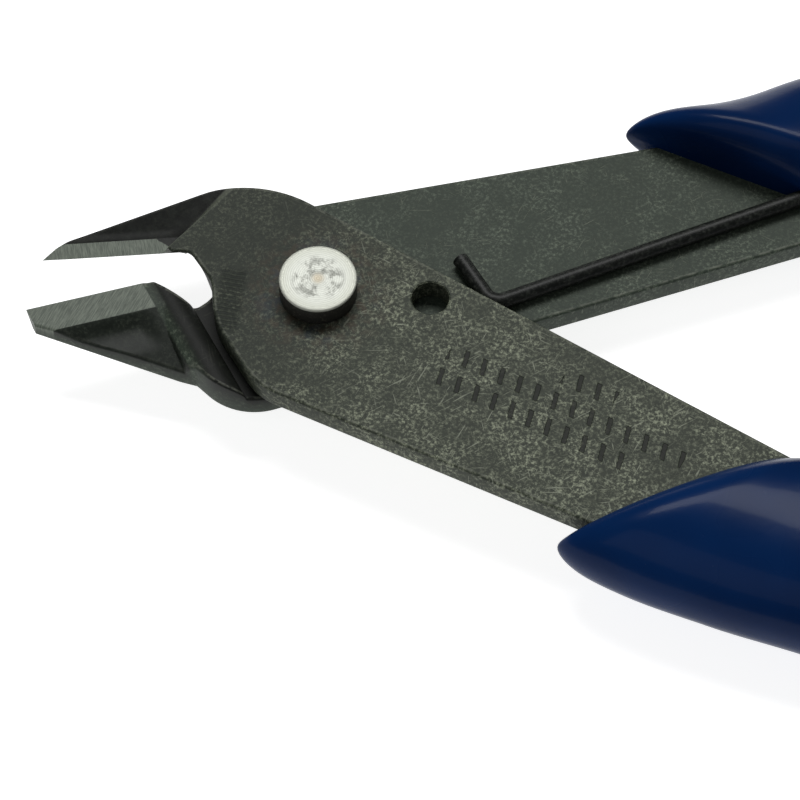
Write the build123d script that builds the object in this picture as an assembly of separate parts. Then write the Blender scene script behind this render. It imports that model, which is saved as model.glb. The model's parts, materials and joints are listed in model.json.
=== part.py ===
"""Small diagonal cutting pliers: two stamped levers on a rivet, a wire return spring and two dipped grips.

Everything is drawn in millimetres about the pivot, with the jaws closed, +X towards the handle ends and +Z
towards the side that shows the rivet's raised head. Each lever is then turned half of the opening angle, and
the whole tool is moved so that its origin is the centre of its footprint, on the surface it lies on.

A straight edge is written as (offset, angle): its distance from the pivot, to the left of its own direction.
The front lever is side 1 and its mirror image behind it is side -1.
"""
from build123d import *
import os
from math import cos, radians, sin, tan

# Levers: the plate, its two straight edges beside the pivot, and the curved tang inside the grip
plate = 1.6
plate_gap = 0.06
inner_offset = 5.25
outer_offset = 7.5
inner_angle = 20.0
outer_angle = 13.0
shank_length = 36.0
tang_width = 6.4
tang_bend_radius = 106.0
tang_bend_angle = 26.0
tang_tail = 24.6

# Head outline: the crown or hump above the pivot, the round throat, and the heel that runs into the shank
throat_radius = 6.45
throat_angle = 107.0
throat_lead = 1.4
throat_lead_round = 2.0
heel_angle = 132.8
heel_round = 4.0
crown_round = {1: 7.7, -1: 4.0}
hump_edge = (-8.59, -43.45)
notch_along = {1: 7.72, -1: 7.34}
notch_depth = {1: -0.44, -1: 2.13}
notch_round = {1: 0.9, -1: 0.5}

# Jaws: the cutting line, the backs and tips, and the facets ground and pressed on them
jaw_line_angle = 16.7
jaw_line_offset = 4.07
jaw_gap = 0.04
jaw_opening = 11.3
edge_start = 9.4
edge_end = {1: 17.1, -1: 17.7}
edge_height = 0.8
back_edge = {1: (9.48, 32.95), -1: (-6.7, -15.35)}
tip_angle = {1: 37.0, -1: 96.0}
tip_round = {1: 3.0, -1: 0.45}
land_width = {1: 1.1, -1: 1.9}
facet_angle = {1: -16.5, -1: 15.0}
bevel_angle = 52.0
step_offset = {1: 9.3, -1: 8.9}
step_angle = 61.0
jaw_floor = 0.8
floor_width = 1.25
tip_taper = 10.0
neck_end = 8.6
ridge_offset = 8.0
ridge_radius = 1.3
ridge_top = 0.85
head_clearance = 0.3

# Small hole through the front lever behind the rivet
hole_diameter = 2.3
hole_along = 6.14
hole_across = 2.92

# Rivet
rivet_shaft = 3.2
rivet_clearance = 0.04
rivet_head = 4.72
rivet_head_height = 1.5
rivet_back = 5.4
rivet_back_height = 0.8
rivet_lift = 0.05
rivet_edge = 0.15

# Return spring: a straight run of round wire, a tight hook against the front lever, and its hidden tail
wire = 1.0
wire_lift = 0.05
wire_touch = 0.05
wire_angle = 29.0
wire_root_along = 29.0
wire_root_across = 0.7
wire_tail = 5.0
hook_radius = 0.95
hook_turn = 82.0
hook_leg = 3.0
flex_ratio = -0.82
pocket_clearance = 0.15

# Grips: oval sections along the tang, from the slanted mouth over the swollen nose to the rounded end
grip_size = {1: 1.0, -1: 0.92}
grip_mouth = 26.2
grip_mouth_slant = 39.0
grip_mouth_width = 6.6
grip_mouth_height = 2.7
grip_nose_width = 8.1
grip_nose_shift = -1.2
grip_nose_end = 4.0
grip_lip = 1.3
grip_half_width = 5.6
grip_half_height = 4.2
grip_rest_depth = 4.05
grip_end_wall = 4.5
grip_end_width = 3.0
grip_end_height = 2.2

half_gap = plate_gap / 2
half_open = jaw_opening / 2
lever_angle = (inner_angle + outer_angle) / 2
half_taper = (inner_angle - outer_angle) / 2


def meet(edge_a, edge_b):
    """Crossing point of two straight edges."""
    offset_a, angle_a = edge_a[0], radians(edge_a[1])
    offset_b, angle_b = edge_b[0], radians(edge_b[1])
    turn = sin(angle_b - angle_a)
    x = (offset_a * cos(angle_b) - offset_b * cos(angle_a)) / turn
    y = (offset_a * sin(angle_b) - offset_b * sin(angle_a)) / turn
    return (x, y)


def polar(distance, angle):
    """Point at a distance from the pivot in a direction."""
    return (distance * cos(radians(angle)), distance * sin(radians(angle)))


def beside(along, across, angle):
    """Point a distance along a direction from the pivot, and across it to the left."""
    x, y = polar(along, angle)
    dx, dy = polar(across, angle + 90)
    return (x + dx, y + dy)


def on_shank(along, across, side):
    """Point beside a lever's middle line; across is positive towards the other lever."""
    return beside(along, side * across, -side * lever_angle)


def on_jaw(along, away, side):
    """Point beside the closed cutting line, away from it on the jaw's own side."""
    return beside(-along, jaw_line_offset + side * away, jaw_line_angle)


def edge_through(point, angle):
    """The straight edge at an angle through a point."""
    x, y = point
    return (y * cos(radians(angle)) - x * sin(radians(angle)), angle)


def rounded(corners):
    """Closed face through corners, each with its own rounding radius, 0 for a sharp one."""
    face = make_face(Polyline([point for point, radius in corners], close=True))
    for (x, y), radius in corners:
        if radius > 0:
            corner = face.vertices().sort_by_distance((x, y, 0))[0]
            face = fillet(corner, radius)
    return face


def prism(face, low, high):
    """Upright solid on a flat outline between two heights."""
    return extrude(Pos(0, 0, low) * face, amount=high - low, dir=(0, 0, 1))


def beyond(edge, reach=60.0, depth=20.0):
    """Block that fills everything to the left of a straight edge."""
    offset, angle = edge
    block = Box(2 * reach, reach, depth, align=(Align.CENTER, Align.MIN, Align.CENTER))
    return Rot(0, 0, angle) * (Pos(0, offset, 0) * block)


def shank_edge(along, across_offset, side):
    """Point of the tapering shank's edge at a distance along the lever."""
    taper = along * tan(radians(half_taper))
    inset = abs(across_offset) / cos(radians(half_taper)) - taper
    return on_shank(along, inset if across_offset > 0 else -inset, side)


def head_outline(side):
    """Outline of one lever from the jaw tip to the start of its tang."""
    inner = (side * inner_offset, -side * inner_angle)
    outer = (-side * outer_offset, -side * outer_angle)
    throat = (side * throat_radius, side * throat_angle)
    heel = (side * throat_radius, side * heel_angle)
    back = back_edge[side]
    bevel_rise = (half_gap + plate - edge_height) / tan(radians(bevel_angle))
    brow = jaw_gap / 2 - (bevel_rise if side > 0 else 0)
    cutting_edge = (jaw_line_offset + side * brow, jaw_line_angle)
    tip = edge_through(on_jaw(edge_end[side], jaw_gap / 2, side), jaw_line_angle + side * tip_angle[side])
    lead_x, lead_y = beside(throat_lead, throat_radius, throat_angle)
    corners = [
        (shank_edge(shank_length, inner_offset, side), 0),
        (meet(back, tip), tip_round[side]),
        (meet(tip, cutting_edge), 0 if side > 0 else tip_round[side]),
        (on_jaw(notch_along[side], notch_depth[side], side), notch_round[side]),
        ((lead_x, side * lead_y), throat_lead_round),
        (meet(throat, heel), throat_radius * 0.98),
        (meet(heel, outer), heel_round),
        (shank_edge(shank_length, -outer_offset, side), 0),
    ]
    if side > 0:
        corners.insert(1, (meet(inner, back), crown_round[side]))
    else:
        corners[1:1] = [(meet(inner, hump_edge), crown_round[side]), (meet(hump_edge, back), 0)]
        corners.insert(5, (on_jaw(edge_start, jaw_gap / 2, side), 0))
    return rounded(corners)


def tang_middle(side):
    """Middle line of the tang and the grip: an arc that bends the handle back, then a straight tail."""
    middle = (inner_offset - outer_offset) / 2 / cos(radians(half_taper))
    start = on_shank(shank_length, middle, side)
    heading = polar(1, -side * lever_angle)
    bend = JernArc(start, heading, tang_bend_radius, side * tang_bend_angle)
    tail = Line(bend @ 1, bend @ 1 + (bend % 1) * tang_tail)
    return bend, tail


def tang_outline(side):
    """Flat outline of the tang: a band of even width along its middle line, with a tapered start."""
    bend, tail = tang_middle(side)
    band = trace(bend, tang_width) + trace(tail, tang_width)
    inner_corner = shank_edge(shank_length, inner_offset, side)
    outer_corner = shank_edge(shank_length, -outer_offset, side)
    taper_end = bend.position_at(0.12)
    across = (bend.tangent_at(0.12)).rotate(Axis.Z, 90) * (side * tang_width / 2)
    root = Polyline([inner_corner, taper_end + across, taper_end - across, outer_corner], close=True)
    return band + make_face(root)


def jaw_zone(side):
    """Block that holds the part of a lever beyond the pressed step."""
    zone = beyond((step_offset[side], step_angle))
    return zone if side > 0 else Rot(180, 0, 0) * zone


def other_head(side):
    """Room that the other lever's head needs as the tool opens and closes, seen from this closed lever."""
    room = offset(head_outline(-side), amount=head_clearance)
    turns = [side * jaw_opening * share for share in (0, 0.5, 1)]
    return [Rot(0, 0, turn) * room for turn in turns]


def leaning(side, along, away, height, tilt, fall=0.0, upwards=True):
    """Block above (or below) a plane through a point beside the cutting line. The plane falls by tilt degrees
    away from that line, and by fall degrees towards the tip."""
    x, y = on_jaw(along, away, side)
    out = Vector(*polar(1, jaw_line_angle + side * 90), 0)
    tip = Vector(*polar(1, jaw_line_angle + 180), 0)
    normal = out * tan(radians(tilt)) + tip * tan(radians(fall)) + Vector(0, 0, 1)
    face_plane = Plane(origin=(x, y, height), x_dir=tip.cross(normal), z_dir=normal if upwards else -normal)
    return face_plane * Box(80, 80, 20, align=(Align.CENTER, Align.CENTER, Align.MIN))


def jaw(side, block, zone):
    """The jaw beyond the step: its ground land, the facet behind it, the bevel under the edge and its floor."""
    blade = block & zone
    facet = leaning(side, edge_start, land_width[side], edge_height, facet_angle[side])
    above = Pos(0, 0, edge_height) * Box(200, 200, 20, align=(Align.CENTER, Align.CENTER, Align.MIN))
    if side > 0:
        floor = leaning(side, edge_start, floor_width, -jaw_floor, facet_angle[side], upwards=False)
        return blade - (facet & above) - floor
    floor = leaning(side, edge_start, 0, -half_gap - plate, 0, -tip_taper, upwards=False)
    return blade - facet - floor


def lever(side):
    """One stamped lever: plate, joggled neck and jaw in one solid."""
    low = half_gap if side > 0 else -half_gap - plate
    high = low + plate
    head = head_outline(side)
    zone = jaw_zone(side)
    floor = -jaw_floor if side > 0 else low
    block = prism(head, floor, high if side > 0 else ridge_top)
    neck = (block - zone) & beyond((neck_end, step_angle)) if side > 0 else block & ridge()
    for room in other_head(side):
        neck = neck - prism(room, -2 * plate, low) if side > 0 else neck - prism(room, high, 2 * plate)
    body = (prism(head, low, high) - zone) + neck + jaw(side, block, zone)
    body = body - bevel(side)
    body = body + prism(tang_outline(side), low, high)
    shaft = rivet_shaft / 2 + (rivet_clearance if side > 0 else 0)
    body = body - Cylinder(shaft, 6 * plate)
    if side > 0:
        x, y = on_shank(hole_along, hole_across, side)
        body = body - Pos(x, y, 0) * Cylinder(hole_diameter / 2, 6 * plate)
    return body


def bevel(side):
    """Wedge under the cutting edge; on the front lever it also undercuts the brow over the throat."""
    cut = leaning(side, edge_start, jaw_gap / 2, edge_height, bevel_angle, upwards=False)
    reach = beyond((throat_radius + 0.6, jaw_line_angle + 90))
    return cut & reach


def ridge():
    """Rounded ridge across the rear lever's neck, pressed up beside the front lever's edge."""
    deep = Box(80, 2 * ridge_radius, 2 * plate, align=(Align.CENTER, Align.CENTER, Align.MAX))
    bar = Rot(0, 90, 0) * Cylinder(ridge_radius, 80) + deep
    bar = Pos(0, -ridge_offset, ridge_top - ridge_radius) * bar
    return (Rot(0, 0, -step_angle) * bar) & beyond((throat_radius - 1, 90))


def rivet():
    """Headed rivet: a tall polished head in front, a shaft, and a low upset head behind."""
    top = half_gap + plate + rivet_lift
    bottom = -half_gap - plate
    up = (Align.CENTER, Align.CENTER, Align.MIN)
    head = Pos(0, 0, top) * Cylinder(rivet_head / 2, rivet_head_height, align=up)
    head = fillet(head.edges().group_by(Axis.Z)[-1], rivet_edge)
    back = Pos(0, 0, bottom - rivet_back_height) * Cylinder(rivet_back / 2, rivet_back_height, align=up)
    back = fillet(back.edges().group_by(Axis.Z)[0], rivet_back_height / 2)
    shaft = Pos(0, 0, bottom) * Cylinder(rivet_shaft / 2, top - bottom, align=up)
    return head + shaft + back


def wire_root():
    """Where the spring leaves the rear grip, on the closed rear lever."""
    return on_shank(wire_root_along, wire_root_across, -1)


def spring_path():
    """Middle line of the wire at rest, seen from the closed rear lever."""
    root = Vector(*wire_root(), 0)
    run_angle = wire_angle - half_open + 180
    inner_angle_at_rest = -inner_angle - jaw_opening
    normal = Vector(*polar(1, inner_angle_at_rest + 90), 0)
    run = Vector(*polar(1, run_angle), 0)
    aside = Vector(*polar(hook_radius, run_angle - 90), 0)
    clear = inner_offset + hook_radius + wire / 2 + wire_touch
    reach = (clear - (root + aside).dot(normal)) / run.dot(normal)
    tail = root - run * wire_tail
    straight = Line(tail, root + run * reach)
    hook = JernArc(straight @ 1, run, hook_radius, -hook_turn)
    leg = Line(hook @ 1, hook @ 1 + (hook % 1) * hook_leg)
    return Wire([straight, hook, leg])


def spring():
    """Round wire swept along its middle line, lying just above the rear lever."""
    path = Pos(0, 0, wire_lift + wire / 2 - half_gap) * spring_path()
    section = Plane(origin=path @ 0, z_dir=path % 0) * Circle(wire / 2)
    return sweep(section, path)


def grip_sections(side):
    """Oval sections of a grip: (place, heading turned by the slant, half width, half height)."""
    bend, tail = tang_middle(side)
    middle = (inner_offset - outer_offset) / 2 / cos(radians(half_taper))
    heading = -side * lever_angle
    size = grip_size[side]
    sections = []
    for along, slant, shift, width, height in (
        (grip_mouth, 1.0, grip_nose_shift / 2, size * grip_mouth_width, grip_mouth_height),
        (grip_mouth + grip_lip, 0.95, grip_nose_shift, size * grip_nose_width, grip_half_height * 0.9),
        (grip_mouth + grip_nose_end, 0.6, grip_nose_shift * 0.8, size * grip_nose_width * 0.9, grip_half_height),
        (shank_length, 0.0, grip_nose_shift / 4, grip_half_width + 0.5, grip_half_height),
    ):
        place = on_shank(along, middle + shift, side)
        sections.append((place, heading - side * slant * grip_mouth_slant, width, height))
    for share in (0.35, 0.7, 1.0):
        place = bend.position_at(share)
        turn = heading + side * tang_bend_angle * share
        sections.append(((place.X, place.Y), turn, grip_half_width - 0.3 * share, grip_half_height))
    end_turn = heading + side * tang_bend_angle
    for share, width, height in (
        (1.0, grip_half_width - 0.5, grip_half_height),
        (1.0 + (grip_end_wall - 1.0) / tang_tail, grip_half_width * 0.75, grip_half_height * 0.8),
        (1.0 + grip_end_wall / tang_tail, grip_end_width, grip_end_height),
    ):
        place = bend @ 1 + (bend % 1) * (tang_tail * share)
        sections.append(((place.X, place.Y), end_turn, width, height))
    return sections


def grip(side, tang):
    """Dipped vinyl grip: an oval sleeve over the tang with a flat underside to rest on."""
    ovals = []
    for (x, y), turn, width, height in grip_sections(side):
        across = (*polar(1, turn + 90), 0)
        section = Plane(origin=(x, y, 0), x_dir=across, z_dir=(*polar(1, turn), 0))
        ovals.append(section * Ellipse(width, height))
    sleeve = loft(ovals)
    slab = Box(400, 400, 40, align=(Align.CENTER, Align.CENTER, Align.MIN))
    sleeve = sleeve & (Pos(0, 0, -grip_rest_depth) * slab)
    return sleeve - tang


def wire_pocket():
    """Slot inside the rear grip that lets the spring's tail swing as the wire flexes."""
    root = wire_root()
    width = wire + 2 * pocket_clearance
    run_angle = wire_angle - half_open
    reach = wire_tail + pocket_clearance
    centre_z = wire_lift + wire / 2 - half_gap
    slot = Box(reach + 8, width, width, align=(Align.MIN, Align.CENTER, Align.CENTER))
    slot = Pos(-8, 0, 0) * slot
    cuts = [Rot(0, 0, jaw_opening * flex_ratio * share) * slot for share in (0, 0.33, 0.67, 1)]
    pocket = cuts[0] + cuts[1:]
    return Pos(root[0], root[1], centre_z) * (Rot(0, 0, run_angle) * pocket)


def build():
    """All the pieces at rest, with the jaws open and the origin under the middle of the tool."""
    front = lever(1)
    rear = lever(-1)
    front_turn = Rot(0, 0, -half_open)
    rear_turn = Rot(0, 0, half_open)
    parts = {
        "front_lever": front_turn * front,
        "rear_lever": rear_turn * rear,
        "pivot_rivet": rivet(),
        "return_spring": rear_turn * spring(),
        "front_grip": front_turn * grip(1, front),
        "rear_grip": rear_turn * (grip(-1, rear) - wire_pocket()),
    }
    box = Compound(list(parts.values())).bounding_box()
    middle = box.center()
    home = Pos(-middle.X, -middle.Y, grip_rest_depth)
    pivot = home * Pos(0, 0, 0)
    root = (home * rear_turn * Pos(*wire_root(), 0)).position
    rest = (home * front_turn * Pos(tang_middle(1)[0].position_at(0.5))).position
    print("pivot", pivot.position, "spring root", root, "rest", rest, "box", box.size)
    return {name: home * piece for name, piece in parts.items()}


def main():
    os.makedirs("parts", exist_ok=True)
    for name, piece in build().items():
        export_step(piece, f"parts/{name}.step")


main()
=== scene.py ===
# %% [markdown]
# # Small diagonal cutters, a lesson in cells
# The tool is two stamped steel levers that cross on a rivet, a wire return spring, and two dipped vinyl
# grips. The imported CAD model is the fixed frame: it holds every size and every joint. This script gives
# each piece its finished surface and its finish, and lets the levers, the rivet and the grips ride on the CAD
# body that each belongs to.

# %% Load the frame
import json
import bmesh
import bpy
import numpy as np
from math import acos, cos, pi, radians, sin, tan
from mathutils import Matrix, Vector


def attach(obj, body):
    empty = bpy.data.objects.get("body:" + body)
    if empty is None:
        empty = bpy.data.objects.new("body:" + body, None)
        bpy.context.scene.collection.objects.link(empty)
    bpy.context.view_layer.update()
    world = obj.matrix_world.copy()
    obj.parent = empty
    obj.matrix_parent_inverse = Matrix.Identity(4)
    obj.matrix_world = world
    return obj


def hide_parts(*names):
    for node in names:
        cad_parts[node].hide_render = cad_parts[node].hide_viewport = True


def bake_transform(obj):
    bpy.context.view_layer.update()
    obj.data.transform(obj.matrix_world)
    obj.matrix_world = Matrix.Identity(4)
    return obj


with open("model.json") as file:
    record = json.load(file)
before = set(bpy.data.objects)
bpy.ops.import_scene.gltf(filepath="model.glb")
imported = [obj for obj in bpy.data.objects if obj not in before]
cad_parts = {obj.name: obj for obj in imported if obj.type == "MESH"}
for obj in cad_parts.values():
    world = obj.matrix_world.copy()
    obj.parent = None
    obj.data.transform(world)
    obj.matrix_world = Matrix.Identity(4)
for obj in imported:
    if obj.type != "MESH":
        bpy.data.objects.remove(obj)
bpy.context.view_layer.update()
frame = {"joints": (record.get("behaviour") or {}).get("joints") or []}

joints = {joint["name"]: joint for joint in frame["joints"]}
MM = 0.001
pivot = np.array(joints["pivot"]["pos_m"]) / MM
half_open = joints["pivot"]["range_deg"][1] / 2
print("pivot in mm", pivot.round(3), "each lever stands", half_open, "degrees from closed")

# %% [markdown]
# ## Making a mesh from arrays
# Numpy works out every point of a piece at once, in millimetres from the pivot. One helper turns the arrays
# into a mesh in metres. It merges the points that lie on each other, so poles and seams close, and turns
# all the faces outwards. Edges that turn sharply stay crisp, and the rest is shaded smooth.


# %% Mesh helpers
def grid_faces(rows, columns, wrap=False):
    """Quads between the points of a grid, row by row; wrap joins the last column to the first."""
    index = np.arange(rows * columns).reshape(rows, columns)
    if wrap:
        index = np.concatenate([index, index[:, :1]], axis=1)
    corners = [index[:-1, :-1], index[:-1, 1:], index[1:, 1:], index[1:, :-1]]
    return np.stack(corners, axis=-1).reshape(-1, 4)


def add_piece(name, points, faces, crease=35.0, attributes=None):
    """A mesh object at the origin whose points are given in millimetres from the pivot."""
    mesh = bpy.data.meshes.new(name)
    mesh.from_pydata(((points + pivot) * MM).tolist(), [], faces.tolist())
    for key, values in (attributes or {}).items():
        mesh.attributes.new(key, "FLOAT", "POINT").data.foreach_set("value", values.astype(np.float32))
    tidy = bmesh.new()
    tidy.from_mesh(mesh)
    bmesh.ops.remove_doubles(tidy, verts=tidy.verts, dist=2e-7)
    bmesh.ops.dissolve_degenerate(tidy, edges=tidy.edges, dist=1e-7)
    bmesh.ops.recalc_face_normals(tidy, faces=tidy.faces)
    open_edges = sum(not edge.is_manifold for edge in tidy.edges)
    tidy.to_mesh(mesh)
    tidy.free()
    mesh.polygons.foreach_set("use_smooth", np.ones(len(mesh.polygons), bool))
    mesh.set_sharp_from_angle(angle=radians(crease))
    piece = bpy.data.objects.new(name, mesh)
    bpy.context.scene.collection.objects.link(piece)
    print(name, len(mesh.polygons), "faces,", open_edges, "edges without two faces")
    return piece


def turned(points, angle):
    """Points turned about the pivot's axis by an angle in degrees."""
    c, s = cos(radians(angle)), sin(radians(angle))
    x, y = points[..., 0], points[..., 1]
    return np.stack([c * x - s * y, s * x + c * y, *np.moveaxis(points[..., 2:], -1, 0)], axis=-1)


# %% [markdown]
# ## Shader maths as plain expressions
# A finish is a small calculation: noise, masks and colours. The class below wraps the output of a shader
# node, so that `1 - mask * 0.5` adds the Math nodes by itself. Every other node comes from one method that
# takes the node's type, its settings, and what goes into its sockets.


# %% Shader helpers
class Signal:
    """One output socket of a finish's node tree."""

    def __init__(self, finish, socket):
        self.finish, self.socket = finish, socket

    def math(self, operation, *values):
        return self.finish.node("ShaderNodeMath", {"operation": operation}, dict(enumerate(values)))

    def __add__(self, other):
        return self.math("ADD", self, other)

    def __sub__(self, other):
        return self.math("SUBTRACT", self, other)

    def __rsub__(self, other):
        return self.math("SUBTRACT", other, self)

    def __mul__(self, other):
        return self.math("MULTIPLY", self, other)

    def __truediv__(self, other):
        return self.math("DIVIDE", self, other)

    __radd__ = __add__
    __rmul__ = __mul__

    def power(self, exponent):
        return self.math("POWER", self, exponent)

    def most(self, other):
        return self.math("MAXIMUM", self, other)

    def size(self):
        return self.math("ABSOLUTE", self)

    def wave(self):
        return self.math("SINE", self)

    def rise(self, start, stop):
        """0 below start, 1 above stop, and a smooth step between them; start may be the larger."""
        settings = {"interpolation_type": "SMOOTHSTEP", "clamp": True}
        low, high = (start, stop) if start < stop else (stop, start)
        step = self.finish.node("ShaderNodeMapRange", settings, {0: self, 1: low, 2: high, 3: 0.0, 4: 1.0})
        return step if start < stop else 1 - step


class Finish:
    """A procedural material under construction."""

    def __init__(self, name):
        self.material = bpy.data.materials.new(name)
        self.material.use_nodes = True
        self.tree = self.material.node_tree
        self.tree.nodes.clear()
        self.shader = self.tree.nodes.new("ShaderNodeBsdfPrincipled")
        output = self.tree.nodes.new("ShaderNodeOutputMaterial")
        self.tree.links.new(self.shader.outputs[0], output.inputs[0])
        coordinates = self.node("ShaderNodeTexCoord", {}, {}, "Object")
        moved = self.vector("SUBTRACT", coordinates, tuple(pivot * MM))
        self.place = self.node("ShaderNodeVectorMath", {"operation": "SCALE"}, {0: moved, "Scale": 1 / MM})
        parts = self.tree.nodes.new("ShaderNodeSeparateXYZ")
        self.tree.links.new(self.place.socket, parts.inputs[0])
        self.x, self.y, self.z = (Signal(self, socket) for socket in parts.outputs)

    def node(self, kind, settings, inputs, output=0):
        """Adds a node: settings first, then values or links into its sockets, and returns one output."""
        made = self.tree.nodes.new(kind)
        for key, value in settings.items():
            setattr(made, key, value)
        for key, value in inputs.items():
            if isinstance(value, Signal):
                self.tree.links.new(value.socket, made.inputs[key])
            else:
                made.inputs[key].default_value = value
        return Signal(self, made.outputs[output])

    def vector(self, operation, first, second):
        return self.node("ShaderNodeVectorMath", {"operation": operation}, {0: first, 1: second})

    def turned(self, angle, stretch):
        """The place turned by an angle and then stretched, for grain and scratches that run one way."""
        spun = self.node("ShaderNodeMapping", {}, {0: self.place, "Rotation": (0, 0, radians(angle))})
        return self.vector("MULTIPLY", spun, stretch)

    def noise(self, scale, detail=3.0, roughness=0.6, place=None, offset=0.0):
        """Noise from 0 to 1 whose grain is about 1 / scale millimetres."""
        place = self.vector("ADD", place or self.place, (offset, 2 * offset, 3 * offset))
        sockets = {"Vector": place, "Scale": scale, "Detail": detail, "Roughness": roughness}
        return self.node("ShaderNodeTexNoise", {}, sockets)

    def attribute(self, name):
        """A value that numpy stored at each point of the mesh."""
        return self.node("ShaderNodeAttribute", {"attribute_name": name}, {}, "Fac")

    def blend(self, factor, first, second, how="MIX"):
        """Colour first turning to colour second as factor goes from 0 to 1."""
        colours = {6: first, 7: second}
        colours = {key: c if isinstance(c, Signal) else (*c, 1.0) for key, c in colours.items()}
        return self.node("ShaderNodeMix", {"data_type": "RGBA", "blend_type": how}, {0: factor, **colours}, 2)

    def done(self, color, roughness, height=None, depth=0.02, metallic=0.0, **fixed):
        """Plugs the signals into the shader; depth is how many millimetres the height of 1 stands up."""
        for key, value in {"Base Color": color, "Roughness": roughness, "Metallic": metallic}.items():
            if isinstance(value, Signal):
                self.tree.links.new(value.socket, self.shader.inputs[key])
            else:
                self.shader.inputs[key].default_value = value
        for key, value in fixed.items():
            self.shader.inputs[key.replace("_", " ")].default_value = value
        if height is not None:
            bump = self.node("ShaderNodeBump", {},
                             {"Strength": 1.0, "Distance": depth * MM, "Height": height})
            self.tree.links.new(bump.socket, self.shader.inputs["Normal"])
        print("finish", self.material.name, "has", len(self.tree.nodes), "nodes")
        return self.material


# %% [markdown]
# ## The camera
# A long lens close to the tool: 135 mm on a 36 mm sensor, 18 cm away, raised 59 degrees above the bench. It
# looks at a point beside the front lever, so the handles run out of the frame and the jaws fill its left
# side.

# %% Camera
sight_azimuth, sight_elevation, sight_distance = 6.84, 58.85, 180.03
sight_point = np.array([5.707, -6.035, 0.0])
azimuth, elevation = radians(sight_azimuth), radians(sight_elevation)
back = np.array([sin(azimuth) * cos(elevation), -cos(azimuth) * cos(elevation), sin(elevation)])
camera_data = bpy.data.cameras.new("camera")
camera_data.lens = 135.0
camera_data.sensor_width = 36.0
camera_data.clip_start, camera_data.clip_end = 0.01, 10.0
camera = bpy.data.objects.new("camera", camera_data)
bpy.context.scene.collection.objects.link(camera)
camera.location = Vector((pivot + sight_point + back * sight_distance) * MM)
camera.rotation_mode = "QUATERNION"
camera.rotation_quaternion = Vector(-back).to_track_quat("-Z", "Y")
bpy.context.scene.camera = camera
print("camera at", [round(value, 4) for value in camera.location])

# %% [markdown]
# ## A straight edge, a rounded corner, an outline
# A stamped lever is a flat outline with thickness, so the outline is the heart of it. A straight edge is
# written as (offset, angle): its distance from the pivot to the left of its own direction. Corners are
# where two edges meet, and each gets a rounding radius. Both levers are drawn with their jaw up and to the
# left and their handle down and to the right; the rear one is turned over afterwards.


# %% Outline helpers
def meet(first, second):
    """Crossing point of two straight edges."""
    (offset_a, angle_a), (offset_b, angle_b) = first, second
    a, b = radians(angle_a), radians(angle_b)
    across = offset_a * cos(b) - offset_b * cos(a)
    upward = offset_a * sin(b) - offset_b * sin(a)
    return np.array([across, upward]) / sin(b - a)


def beside(along, across, angle):
    """Point a distance along a direction from the pivot, and across it to the left."""
    a = radians(angle)
    return np.array([along * cos(a) - across * sin(a), along * sin(a) + across * cos(a)])


def edge_through(point, angle):
    """The straight edge at an angle through a point."""
    return (point[1] * cos(radians(angle)) - point[0] * sin(radians(angle)), angle)


def beyond(points, edge):
    """How far points lie to the left of an edge."""
    offset, angle = edge
    return points[..., 1] * cos(radians(angle)) - points[..., 0] * sin(radians(angle)) - offset


def rounded(corners, steps=14):
    """Outline through (corner, radius) pairs: each corner becomes an arc that touches both of its sides."""
    places = np.array([corner for corner, radius in corners])
    outline = []
    for i, (corner, radius) in enumerate(corners):
        if radius == 0:
            outline.append(corner[None])
            continue
        before, after = places[i - 1] - corner, places[(i + 1) % len(corners)] - corner
        before, after = before / np.linalg.norm(before), after / np.linalg.norm(after)
        half = acos(np.clip(before @ after, -1, 1)) / 2
        middle = (before + after) / np.linalg.norm(before + after)
        centre = corner + middle * radius / sin(half)
        sweep = np.linspace(half - pi / 2, pi / 2 - half, steps)[:, None]
        side = before - middle * cos(half)
        side = side / np.linalg.norm(side)
        outline.append(centre - radius * np.cos(sweep) * middle - radius * np.sin(sweep) * side)
    return np.concatenate(outline)


# %% [markdown]
# ## The lever's sizes
# These are the CAD model's sizes in millimetres. The plate is 1.6 mm thick, and the two plates touch at the
# pivot with a hair's gap between them. The front lever lies on the viewer's side of that gap.

# %% Lever sizes
plate, half_gap = 1.6, 0.03
inner_offset, inner_angle = 5.25, -20.0
outer_offset, outer_angle = 7.5, -13.0
lever_angle = (inner_angle + outer_angle) / 2
shank_length, tang_width, tang_bend_radius, tang_bend, tang_tail = 36.0, 6.4, 106.0, 26.0, 24.6
throat_radius, throat_angle, heel_angle = 6.45, 107.0, 132.8
step_angle = 61.0
jaw_gap, edge_start = 0.05, 9.4
crown_round, hump_edge, hump_round, heel_round = 7.7, (8.59, 43.45), 4.0, 4.0
throat_lead, throat_lead_round = 1.4, 2.0
rim_softness, edge_softness = 0.17, 0.012
edge_height = 0.8
middle_offset = (inner_offset - outer_offset) / 2

sides = {
    "front": dict(side=1, jaw=(4.07 + jaw_gap / 2, 16.7), back=(9.48, 32.95), end=17.1, tip=53.7,
                  tip_round=3.0, corner_round=0.05, undercut=1.05, step=9.3, land=1.1, facet=-16.5,
                  notch=(7.72, -0.44), notch_round=0.9, low=half_gap),
    "rear": dict(side=-1, jaw=(-4.07 + jaw_gap / 2, -16.7), back=(6.7, 15.35), end=17.7, tip=79.3,
                 tip_round=0.45, corner_round=0.45, undercut=1.2, step=8.9, land=1.9, facet=14.0,
                 notch=(7.34, 2.13), notch_round=0.5, low=-half_gap - plate),
}


def on_jaw(make, along, away):
    """Point beside a lever's cutting line."""
    offset, angle = make["jaw"]
    return beside(-along, offset + away, angle)


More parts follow.
